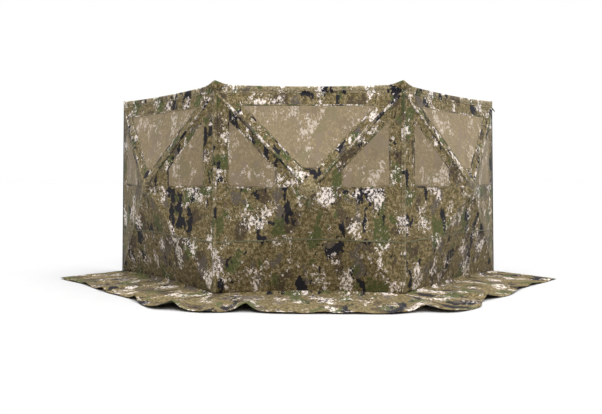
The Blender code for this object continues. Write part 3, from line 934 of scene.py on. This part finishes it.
@dataclass
class RidgeSleeve:
    """The sleeve of cloth over a pole, along a ridge."""

    wall: Wall
    index: int
    label: str
    half_width: float = 0.012
    crown: float = 0.0060
    swatch: Plan = (1.9, 0.55)
    steps: int = 46

    def build(self) -> None:
        """The sleeve; the upper sleeves have stitched edges."""
        wall = self.wall
        corner = wall.corners[self.index]
        upper = corner.y > wall.hub.y
        along = (wall.hub - corner).normalized()
        across = Vector((-along.y, along.x))
        start, end = 0.012, (wall.hub - corner).length - 0.070
        shares = [-1.25, -1.0, -0.8, -0.45, 0.0, 0.45, 0.8, 1.0, 1.25]
        heights = [-0.1, 0.14, 0.40, 0.82, 1.0, 0.82, 0.40, 0.14, -0.1]
        rows, prints, runs = [], [], []
        for i in range(self.steps + 1):
            reach = start + (end - start) * i / self.steps
            middle = corner + along * reach
            pinch = 1 + 0.06 * wobble(reach * 22, self.index * 3.0, wall.shift)
            row, cloth, run = [], [], []
            for share, height in zip(shares, heights):
                place = middle + across * self.half_width * share
                lift = (self.crown if upper else self.crown * 0.25) * height * pinch + 0.0008
                row.append(wall.at(place.x, place.y, wall.skin(place.x, place.y) + lift))
                shift = self.swatch if upper else (0.0, 0.0)
                cloth.append((place.x + wall.shift + shift[0], place.y + shift[1]))
                run.append((reach, 0.0032 / 0.012 * self.half_width * share))
            rows.append(row)
            prints.append(cloth)
            runs.append(run)
        name = f"{wall.name}_sleeve_{self.label}"
        finish = Finish.TAPE if upper else Finish.CLOTH
        sleeve = Loft(name, rows, prints, runs, facing=wall.direction(0, 0, 1)).build([finish])
        thicken(sleeve, 0.0008, lined=False)
        bend_by(sleeve, wall.at(corner.x, corner.y, 0), wall.travel)


@dataclass
class Pole:
    """A flexible rod with metal ferrules and a flat eye at its hub end."""

    wall: Wall
    index: int
    label: str
    radius: float = 0.004
    ferrule: float = 0.005
    pin_distance: float = 0.022
    pin_depth: float = 0.018
    depth: float = 0.012
    pocket_room: float = 0.022
    sides: int = 20

    def build(self) -> None:
        """The rod, its ferrules and its eye."""
        wall = self.wall
        corner = wall.corners[self.index]
        outward = (corner - wall.hub).normalized()
        hub = wall.hub + outward * self.pin_distance
        pin = Vector((hub.x, hub.y, wall.bulge - self.pin_depth))
        tip = Vector((corner.x, corner.y, -self.depth))
        along = (tip - pin).normalized()
        length = (tip - pin).length - self.pocket_room
        side = outward.to_3d().cross(Vector((0, 0, 1))).normalized()
        up = along.cross(side).normalized()
        stages = {
            "rod": (Finish.ROD, [(0.050, self.radius * 0.98), (length - 0.030, self.radius * 0.98)]),
            "root": (
                Finish.FERRULE,
                [
                    (0.018, 0.0026),
                    (0.0195, 0.0045),
                    (0.021, self.ferrule),
                    (0.069, self.ferrule),
                    (0.0705, 0.0042),
                ],
            ),
            "tip": (
                Finish.FERRULE,
                [
                    (length - 0.0515, 0.0042),
                    (length - 0.050, self.ferrule),
                    (length - 0.006, self.ferrule),
                    (length - 0.002, 0.0042),
                    (length, 0.0022),
                ],
            ),
        }
        names = []
        for part, (finish, stations) in stages.items():
            rows, runs = [], []
            for place, radius in stations:
                row, run = [], []
                for k in range(self.sides):
                    angle = 2 * math.pi * k / self.sides
                    offset = side * math.cos(angle) + up * math.sin(angle)
                    row.append(wall.matrix @ (pin + along * place + offset * radius))
                    run.append((place, radius * angle))
                rows.append(row)
                runs.append([*run, (place, radius * 2 * math.pi)])
            name = f"{wall.name}_pole_{self.label}_{part}"
            piece = Loft(name, rows, None, runs, closed=True, caps=True).build([finish])
            names.append(piece)
        names.append(self.eye(pin, along, side, up))
        for piece in names:
            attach(piece, f"{wall.name}_pole_{self.label}")
        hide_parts(f"{wall.name}_pole_{self.label}")

    def eye(self, pin: Vector, along: Vector, side: Vector, up: Vector) -> bpy.types.Object:
        """The flat eye that turns on the hub's wire ring."""
        outline = []
        for k in range(9):
            angle = math.pi / 2 + math.pi * k / 8
            outline.append((0.0050 * math.cos(angle), 0.0050 * math.sin(angle)))
        outline += [(0.0060, -0.0042), (0.0235, -0.0042), (0.0235, 0.0042), (0.0060, 0.0042)]
        rows = []
        for share, shrink in ((-1.0, 0.90), (-0.86, 1.0), (0.86, 1.0), (1.0, 0.90)):
            row = []
            for x, z in outline:
                place = pin + along * x * shrink + up * z * shrink + side * 0.0028 * share
                row.append(self.wall.matrix @ place)
            rows.append(row)
        name = f"{self.wall.name}_pole_{self.label}_eye"
        return Loft(name, rows, closed=True, caps=True).build([Finish.FERRULE])


@dataclass
class HubCover:
    """The sewn patch over a hub, with the fittings under it."""

    wall: Wall
    radius: float = 0.088
    washer_top: float = 0.0095
    rings: int = 14
    spokes: int = 48

    def build(self) -> None:
        """The patch, and the finishes of the hub's own fittings."""
        wall = self.wall
        rows, prints, runs = [], [], []
        for i in range(self.rings + 1):
            reach = 0.0015 + (self.radius - 0.0015) * i / self.rings
            row, cloth, run = [], [], []
            for k in range(self.spokes):
                angle = 2 * math.pi * k / self.spokes
                x = wall.hub.x + reach * math.cos(angle)
                y = wall.hub.y + reach * math.sin(angle)
                lies = wall.skin(x, y) + 0.0016
                crown = wall.bulge + self.washer_top - 0.0040 * smoothstep(0.012, 0.042, reach)
                lift = crown + (lies - crown) * smoothstep(0.036, 0.070, reach)
                row.append(wall.at(x, y, max(lift, lies)))
                cloth.append((x + wall.shift + 0.07, y + 0.11))
                run.append((self.radius * angle, reach - self.radius + 0.0065))
            rows.append(row)
            prints.append([*cloth, cloth[0]])
            runs.append([*run, (self.radius * 2 * math.pi, run[0][1])])
        name = f"{wall.name}_hub_patch"
        patch = Loft(
            name, rows, prints, runs, closed=True, facing=wall.direction(0, 0, 1)
        ).build([Finish.TAPE])
        thicken(patch, 0.0010, lined=False)
        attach(patch, f"{wall.name}_hub")
        wall.direction(0, 0, 1)
        wall.at(wall.hub.x, wall.hub.y, wall.bulge + self.washer_top)
        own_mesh(patch)
        for node, finish in (("core", Finish.PLASTIC), ("bolt", Finish.PLASTIC), ("pin_ring", Finish.WIRE)):
            dress(f"{wall.name}_hub_{node}", finish)
        self.pull_tab()

    def pull_tab(self) -> None:
        """The loop of webbing sewn just below the patch."""
        wall = self.wall
        top = wall.hub.y - self.radius - 0.001
        rows, runs = [], []
        count = 26
        for i in range(count + 1):
            share = i / count
            out = share < 0.5
            fall = 2 * share if out else 2 - 2 * share
            y = top - 0.058 * fall
            skin = wall.skin(wall.hub.x, y)
            belly = 0.006 * math.sin(math.pi * min(1.0, fall)) + 0.0016
            height = skin + (0.0032 + belly if not out else 0.0012 + belly * 0.35)
            width = 0.0122
            row, run = [], []
            for k in range(5):
                across = width * (k / 2 - 1)
                row.append(wall.at(wall.hub.x + across, y, height))
                run.append((share * 0.12, across))
            rows.append(row)
            runs.append(run)
        tab = Loft(f"{wall.name}_tab", rows, None, runs).build([Finish.STRAP])
        thicken(tab, 0.0011, lined=False)
        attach(tab, f"{wall.name}_bottom_facet")
        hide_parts(f"{wall.name}_pull_tab")


def dress(node: str, finish: Finish) -> None:
    """Give a CAD node its material."""
    piece = frame["nodes"][node]
    piece.data.materials.clear()
    piece.data.materials.append(finish.material())


@dataclass
class CornerPocket:
    """The cloth pocket inside a wall's corner that takes a pole's tip."""

    wall: Wall
    index: int
    label: str
    length: float = 0.100
    rows: int = 12
    columns: int = 16

    def build(self) -> None:
        """The pocket, bulged over the pole."""
        wall = self.wall
        corner = wall.corners[self.index]
        along = (wall.hub - corner).normalized()
        across = Vector((-along.y, along.x))
        rows, prints, runs = [], [], []
        for i in range(self.rows + 1):
            reach = 0.004 + (self.length - 0.004) * i / self.rows
            half = 0.001 + reach * 0.78
            row, cloth, run = [], [], []
            for k in range(self.columns + 1):
                share = 2 * k / self.columns - 1
                place = corner + along * reach + across * half * share
                belly = (
                    math.exp(-((share * half / 0.0085) ** 2))
                    * (0.013 + 0.02 * reach)
                    * smoothstep(0.0, 0.018, reach)
                )
                crease = 0.0012 * wobble(share * 5, reach * 40, wall.shift + self.index)
                row.append(wall.at(place.x, place.y, -0.0035 - belly + crease))
                cloth.append((place.x + wall.shift, place.y))
                run.append((half * share, self.length - reach - 0.0055))
            rows.append(row)
            prints.append(cloth)
            runs.append(run)
        name = f"{wall.name}_pocket_{self.label}"
        pocket = Loft(name, rows, prints, runs, facing=wall.direction(0, 0, -1)).build([Finish.LINING])
        thicken(pocket, 0.0012, lined=False)
        flat = wall.matrix.inverted()

        def share_of(point: Vector) -> float:
            """A point's share of the hub's travel, more where the pocket bellies out over the pole."""
            return wall.travel(point) + 3.0 * max(0.0, -(flat @ point).z - 0.0035)

        bend_by(pocket, wall.at(corner.x, corner.y, 0), share_of)


# ---------------------------------------------------------------- corners


@dataclass
class NearCorner:
    """The cap and the seam where a side wall turns off the front wall."""

    side: str
    front: Wall
    flank: Wall
    cap_reach: float = 0.108
    cap_rise: float = 0.034
    cap_half: float = 0.0125

    @property
    def foot(self) -> Vector:
        """The upright axis's point on the ground."""
        x = 0.0 if self.side == "left" else self.front.width
        return self.front.at(x, 0, 0)

    @property
    def arms(self) -> tuple[Vector, Vector]:
        """Unit vectors from the corner along the front wall and along the side wall."""
        along = 1 if self.side == "left" else -1
        return self.front.direction(along, 0, 0), self.flank.direction(-along, 0, 0)

    @property
    def outward(self) -> tuple[Vector, Vector]:
        """The outward normals of the front wall and of the side wall."""
        return self.front.direction(0, 0, 1), self.flank.direction(0, 0, 1)

    def place(self, s: float) -> tuple[Vector, Vector]:
        """The middle line and the outward direction at s along the corner, negative on the front wall."""
        arm = self.arms[0] if s < 0 else self.arms[1]
        turn = smoothstep(-0.022, 0.022, s)
        out = self.outward[0].lerp(self.outward[1], turn).normalized()
        return self.foot + arm * abs(s), out

    def bend(self, piece: bpy.types.Object, reach: float) -> None:
        """Work out each point's share of the side wall's turn, spread within reach of the axis; the piece is
        not bent.
        """
        front_arm, side_arm = self.arms

        def share(place: Vector) -> float:
            """A point's share of the side wall's turn."""
            flat = place - self.foot
            flat.z = 0.0
            s = flat.dot(side_arm) - flat.dot(front_arm)
            return smoothstep(-reach, reach, s)

        bend_by(piece, self.foot, share)

    def build(self) -> None:
        """Cap and seam."""
        self.cap()
        self.seam()

    def cap(self) -> None:
        """The peaked hood that the pole tips push up."""
        rows, prints = [], []
        count = 36
        for i in range(count + 1):
            s = self.cap_reach * (2 * i / count - 1)
            middle, out = self.place(s)
            share = abs(s) / self.cap_reach
            wall_top = self.front.top(min(abs(s), self.front.width / 2))
            peak = (
                wall_top
                + 0.0045
                + (self.cap_rise - 0.0045) * (1 - smoothstep(-0.02, self.cap_reach, abs(s))) / 0.935
            )
            low = 1.650 + 0.030 * smoothstep(0.0, 1.0, share) + 0.002 * wobble(s * 40, 2.0, 4.0)
            thick = self.cap_half * (1 - 0.25 * share**4)
            row, cloth = [], []
            for k in range(13):
                angle = math.pi * (k / 12)
                across = thick * math.cos(angle)
                up = math.sin(angle) ** 0.55
                base = low if across > 0 else low + 0.010
                height = base + (peak - base) * up
                spread = 1 + 0.20 * (1 - up)
                row.append(Vector((middle.x, middle.y, height)) + out * across * spread)
                cloth.append((s + 0.62 * self.front.shift + 0.9, height + 0.8 + 0.02 * math.cos(angle)))
            rows.append(row)
            prints.append(cloth)
        cap = Loft(f"{self.side}_cap", rows, prints, facing=Vector((0, 0, 1))).build(
            [Finish.CLOTH, Finish.LINING]
        )
        thicken(cap, 0.0015, lined=True)
        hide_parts(f"{self.side}_corner_cap")
        self.bend(cap, 0.030)

    def seam(self) -> None:
        """The bound seam up the corner."""
        foot, length, half_width = 0.004, 1.656, 0.019
        clearance, crown, crown_width = 0.0046, 0.0034, 0.008
        stitch_line, stitch_row = 0.0125, 0.0032
        edge = 0.02 if self.side == "left" else self.front.width - 0.02
        rows, prints, runs = [], [], []
        count = 84
        for i in range(count + 1):
            height = foot + length * i / count
            row, cloth, run = [], [], []
            pinch = 0.0007 * wobble(height * 26, 1.0, self.front.shift)
            for k in range(11):
                s = half_width * (k / 5 - 1)
                middle, out = self.place(s)
                lift = clearance + crown * math.exp(-((s / crown_width) ** 2)) + pinch
                row.append(Vector((middle.x, middle.y, height)) + out * lift)
                cloth.append((s + self.front.shift + edge, height))
                run.append((height, abs(s) - stitch_line + stitch_row))
            rows.append(row)
            prints.append(cloth)
            runs.append(run)
        seam = Loft(f"{self.side}_seam", rows, prints, runs, facing=sum(self.outward, Vector())).build(
            [Finish.TAPE]
        )
        thicken(seam, 0.0014, lined=False)
        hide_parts(f"{self.side}_corner_piping")
        self.bend(seam, 0.019)


@dataclass
class EndEdge:
    """The dark binding down a side wall's free end."""

    wall: Wall
    at_left: bool

    def build(self) -> None:
        """The binding, as a rounded fold round the edge."""
        wall = self.wall
        sign = 1 if self.at_left else -1
        start = 0.0 if self.at_left else wall.width
        centre, half_width, half_thick = 0.0055, 0.0075, 0.0042
        foot, over_top, tape_round = 0.002, 0.001, 0.012
        sides, count = 16, 70
        section = []
        for k in range(sides):
            angle = 2 * math.pi * k / sides
            section.append((centre + half_width * math.cos(angle), half_thick * math.sin(angle)))
        rows, runs = [], []
        for i in range(count + 1):
            height = foot + (wall.top(0.0) + over_top) * i / count
            pinch = 1 + 0.08 * wobble(height * 30, 3.0, wall.shift)
            rows.append([wall.at(start + sign * x, height, z * pinch) for x, z in section])
            runs.append([(height, tape_round * k / sides) for k in range(sides + 1)])
        edge = Loft(f"{wall.name}_end_edge", rows, None, runs, closed=True, caps=True).build([Finish.EDGING])
        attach(edge, wall.body)
        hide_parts(f"{wall.name}_end_piping")


@dataclass
class EndClip:
    """The moulded hook at the right wall's far end."""

    wall: Wall
    drop: float = 0.062
    length: float = 0.055
    root_gap: float = 0.0068
    tip_gap: float = 0.0006
    root_drop: float = 0.011
    fall: float = 0.0245
    bow: float = 1.3
    root_tall: float = 0.0108
    tall_taper: float = 0.0054
    root_thick: float = 0.0040
    thick_taper: float = 0.0012
    steps: int = 14
    sides: int = 14

    def build(self) -> None:
        """The hook, rounded and tapered."""
        wall = self.wall
        rows = []
        for i in range(self.steps + 1):
            share = i / self.steps
            x = wall.width + self.root_gap + (self.length - self.tip_gap) * share
            middle = wall.height - self.drop - self.root_drop - self.fall * share**self.bow
            tall = self.root_tall - self.tall_taper * share
            thick = self.root_thick - self.thick_taper * share
            if i == self.steps:
                tall, thick = tall * 0.55, thick * 0.5
            row = []
            for k in range(self.sides):
                angle = 2 * math.pi * k / self.sides
                bulge = 1.0 if i else 0.96
                row.append(wall.at(x, middle + tall * bulge * math.sin(angle), thick * math.cos(angle)))
            rows.append(row)
        clip = Loft(f"{wall.name}_hook", rows, closed=True, caps=True).build([Finish.PLASTIC])
        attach(clip, wall.body)
        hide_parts(f"{wall.name}_end_clip")


# ---------------------------------------------------------------- skirt


@dataclass
class Skirt:
    """The rippled cloth that lies outward on the ground round all three walls.

    s runs along the foot of the walls from the left end to the right end, with the front wall's middle at 0.
    """

    walls: dict[str, Wall]
    corners: dict[str, NearCorner]
    gusset_run: float = 0.30
    rows: int = 24
    tucks: tuple[tuple[float, float, float], ...] = (
        (-2.15, 0.016, 0.060),
        (-1.80, 0.026, 0.055),
        (-1.28, 0.034, 0.060),
        (-0.91, 0.062, 0.050),
        (-0.45, 0.056, 0.060),
        (-0.10, 0.008, 0.080),
        (0.26, 0.010, 0.080),
        (0.79, 0.050, 0.055),
        (1.33, 0.048, 0.055),
        (1.85, 0.036, 0.055),
        (2.12, 0.022, 0.050),
    )
    edge_stops: tuple[Plan, ...] = (
        (-2.55, 0.61), (-2.20, 0.575), (-1.78, 0.590), (-1.36, 0.565), (-1.02, 0.615), (-0.90, 0.575),
        (-0.72, 0.610), (-0.45, 0.590), (-0.22, 0.635), (0.10, 0.640), (0.55, 0.645), (0.79, 0.590),
        (0.93, 0.645), (1.08, 0.640), (1.26, 0.575), (1.66, 0.615), (1.95, 0.575), (2.55, 0.61),
    )  # fmt: skip

    def edge(self, s: float) -> float:
        """How far out the cut edge lies at s."""
        return curve_through(self.edge_stops, s) + 0.006 * wobble(s * 6, 0.0, 12.0)

    def lift(self, s: float, t: float) -> float:
        """How high the cloth stands off the ground at s, t of the way to its cut edge."""
        tuck = sum(
            high * math.exp(-((((s - at) / wide) ** 2 + 0.04) ** 0.5) + 0.2)
            for at, high, wide in self.tucks
        )
        tuck *= t**1.7
        ripple = 0.5 + 0.5 * math.sin(2 * math.pi * s / 0.27 + 2.2 * wobble(s * 1.7, 0.0, 8.0))
        ripple = 0.0100 * ripple * smoothstep(0.15, 1.0, t)
        pucker = 0.0045 * abs(wobble(s * 15, t * 2.5, 9.0)) * smoothstep(0.02, 0.10, t)
        rumple = 0.006 * max(0.0, wobble(s * 5 + 2, t * 3.0, 10.0)) * smoothstep(0.05, 0.4, t)
        return tuck + ripple + pucker + rumple

    def section(self, s: float, foot: float, out: float) -> list[tuple[float, float, float]]:
        """(outward, height, print) from the seam at the wall to the cut edge."""
        points = [
            (out, foot, 0.0),
            (out + 0.002, foot * 0.55 + 0.002, foot * 0.5),
            (out + 0.008, foot * 0.22 + 0.0025, foot * 0.85),
            (out + 0.020, 0.0035, foot + 0.008),
        ]
        edge = self.edge(s)
        first = out + 0.020
        for i in range(1, self.rows + 1):
            t = i / self.rows
            place = first + (edge - first) * t
            points.append((place, 0.0026 + self.lift(s, t), foot + place))
        return points

    def build(self) -> None:
        """Three strips and the two gussets between them."""
        starts = {
            "left": -self.walls["front"].width / 2 - self.gusset_run - self.walls["left"].width,
            "front": -self.walls["front"].width / 2,
            "right": self.walls["front"].width / 2 + self.gusset_run,
        }
        for name, start in starts.items():
            self.strip(self.walls[name], start)
        for corner in self.corners.values():
            self.gusset(corner)

    def strip(self, wall: Wall, start: float) -> None:
        """One wall's length of skirt."""
        rows, prints = [], []
        count = round(wall.width / 0.020)
        for i in range(count + 1):
            x = wall.width * i / count
            foot = wall.foot(x)
            out = wall.skin(x, max(foot, wall.low + 1e-4)) + 0.0016
            section = self.section(start + x, foot, out)
            rows.append([wall.at(x, y, z) for z, y, _ in section])
            prints.append([(start + x + 5.0, 8.0 - p) for _, _, p in section])
        skirt = Loft(f"{wall.name}_ground_skirt", rows, prints, facing=Vector((0, 0, 1))).build(
            [Finish.CLOTH]
        )
        thicken(skirt, 0.0016, lined=False)
        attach(skirt, wall.body)
        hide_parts(f"{wall.name}_skirt")

    def gusset(self, corner: NearCorner) -> None:
        """The wedge of skirt round a near corner, fanned through the turn from the front skirt to the side
        skirt.
        """
        left = corner.side == "left"
        front_out, side_out = corner.outward
        axis = front_out.cross(side_out).z
        turn = math.acos(front_out.dot(side_out))
        base = corner.front.width / 2
        rows, prints = [], []
        count = 22
        for i in range(count + 1):
            share = i / count
            s = base + self.gusset_run * share
            s = -s if left else s
            angle = math.copysign(turn * share, axis)
            out = Matrix.Rotation(angle, 3, "Z") @ front_out
            section = self.section(s, corner.front.low, 0.0016)
            rows.append([corner.foot + out * z + Vector((0, 0, y)) for z, y, _ in section])
            prints.append([(s + 5.0, 8.0 - p) for _, _, p in section])
        name = f"{corner.side}_gusset"
        gusset = Loft(name, rows, prints, facing=Vector((0, 0, 1))).build([Finish.CLOTH])
        thicken(gusset, 0.0016, lined=False)
        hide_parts(f"{corner.side}_skirt_gusset")

        def share_of(place: Vector) -> float:
            """A point's share of the turn from the front skirt to the side skirt."""
            flat = (place - corner.foot).to_2d()
            if flat.length < 1e-5:
                return 0.5
            start = front_out.to_2d()
            angle = math.atan2(start.cross(flat), start.dot(flat))
            return angle / math.copysign(turn, axis)

        bend_by(gusset, corner.foot, share_of)


# ---------------------------------------------------------------- blind and studio


@dataclass
class Blind:
    """The whole blind."""

    shifts: dict[str, float] = field(default_factory=lambda: {"front": 0.0, "left": 7.35, "right": 12.60})

    def walls(self) -> dict[str, Wall]:
        """The three walls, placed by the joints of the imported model."""
        joints = {joint["name"]: joint for joint in frame["joints"]}
        near_left = Vector(joints["left_wall_swing"]["pos_m"])
        near_right = Vector(joints["right_wall_swing"]["pos_m"])
        width = (near_right - near_left).length
        made = {}
        for name in ("front", "left", "right"):
            normal = Vector(joints[f"{name}_hub_pop"]["axis"]).normalized()
            along = Vector((0, 0, 1)).cross(normal).normalized()
            origin = {"front": near_left, "left": near_left - along * width, "right": near_right}[name]
            matrix = Matrix((along, Vector((0, 0, 1)), normal)).transposed().to_4x4()
            matrix.translation = Vector((origin.x, origin.y, 0.0))
            made[name] = Wall(name, f"{name}_wall", matrix, self.shifts[name], width=width)
        return made

    def build(self) -> None:
        """Every sub-assembly in order."""
        walls = self.walls()
        labels = ("bottom_left", "bottom_right", "top_right", "top_left")
        for wall in walls.values():
            for side in Side:
                Facet(wall, side).build()
            TopHem(wall).build()
            for index, label in enumerate(labels):
                RidgeSleeve(wall, index, label).build()
                Pole(wall, index, label).build()
                CornerPocket(wall, index, label).build()
            HubCover(wall).build()
            LOG.info("%s wall built", wall.name)
        corners = {side: NearCorner(side, walls["front"], walls[side]) for side in ("left", "right")}
        for corner in corners.values():
            corner.build()
            LOG.info("%s near corner built", corner.side)
        EndEdge(walls["left"], True).build()
        EndEdge(walls["right"], False).build()
        EndClip(walls["right"]).build()
        Skirt(walls, corners).build()
        LOG.info("end edges, hook and skirt built")


@dataclass
class Studio:
    """The floor, the soft light and the camera."""

    wall: Wall
    distance: float = 4.485
    eye_height: float = 0.961
    lens: float = 33.25
    rise: float = 0.0276
    turn: float = 0.0030
    ambient: float = 0.24
    overhead: float = 5.6
    toward_light: tuple[float, float, float] = (0.15, -0.27, 0.95)

    def build(self) -> None:
        """Everything round the object."""
        self.floor()
        self.light()
        self.camera()

    def floor(self) -> None:
        """A wide pale floor just under the skirt."""
        mesh = bpy.data.meshes.new("floor")
        half = 60.0
        corners = [(-half, -half, 0), (half, -half, 0), (half, half, 0), (-half, half, 0)]
        mesh.from_pydata(corners, [], [(0, 1, 2, 3)])
        mesh.materials.append(Finish.FLOOR.material())
        floor = bpy.data.objects.new("floor", mesh)
        bpy.context.scene.collection.objects.link(floor)
        floor.location.z = -0.001

    def light(self) -> None:
        """A white surround and a broad soft light from above and in front."""
        world = bpy.data.worlds.new("surround")
        world.use_nodes = True
        tree = world.node_tree
        shade = tree.nodes["Background"]
        shade.inputs["Color"].default_value = (1.0, 1.0, 1.0, 1.0)
        strength = tree.nodes.new("ShaderNodeMapRange")
        strength.inputs["To Min"].default_value = self.ambient
        seen = tree.nodes.new("ShaderNodeLightPath").outputs["Is Camera Ray"]
        tree.links.new(seen, strength.inputs["Value"])
        tree.links.new(strength.outputs[0], shade.inputs["Strength"])
        bpy.context.scene.world = world
        lamp = bpy.data.lights.new("overhead", "SUN")
        lamp.energy = self.overhead
        lamp.angle = math.radians(70)
        holder = bpy.data.objects.new("overhead", lamp)
        holder.rotation_euler = Vector(self.toward_light).to_track_quat("Z", "Y").to_euler()
        bpy.context.scene.collection.objects.link(holder)
        bpy.context.scene.view_settings.view_transform = "Standard"

    def camera(self) -> None:
        """The camera, a little left of straight on, at chest height."""
        data = bpy.data.cameras.new("camera")
        data.lens = self.lens
        data.sensor_width = 36.0
        data.shift_y = -0.0799
        camera = bpy.data.objects.new("camera", data)
        front = self.wall.at(self.wall.width / 2, 0, 0)
        camera.location = (front.x - 0.0514, front.y - self.distance, self.eye_height)
        camera.rotation_euler = (math.pi / 2 + self.rise, 0.0, self.turn)
        bpy.context.scene.collection.objects.link(camera)
        bpy.context.scene.camera = camera


def clear_starter() -> None:
    """Remove the objects of Blender's own startup scene."""
    for name in ("Cube", "Light", "Camera"):
        found = bpy.data.objects.get(name)
        if found is not None and "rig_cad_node" not in found:
            bpy.data.objects.remove(found)


def main() -> None:
    """Build the blind and its studio."""
    logging.basicConfig(level=logging.INFO, format="%(message)s")
    clear_starter()
    blind = Blind()
    blind.build()
    Studio(blind.walls()["front"]).build()


if __name__ == "__main__":
    main()
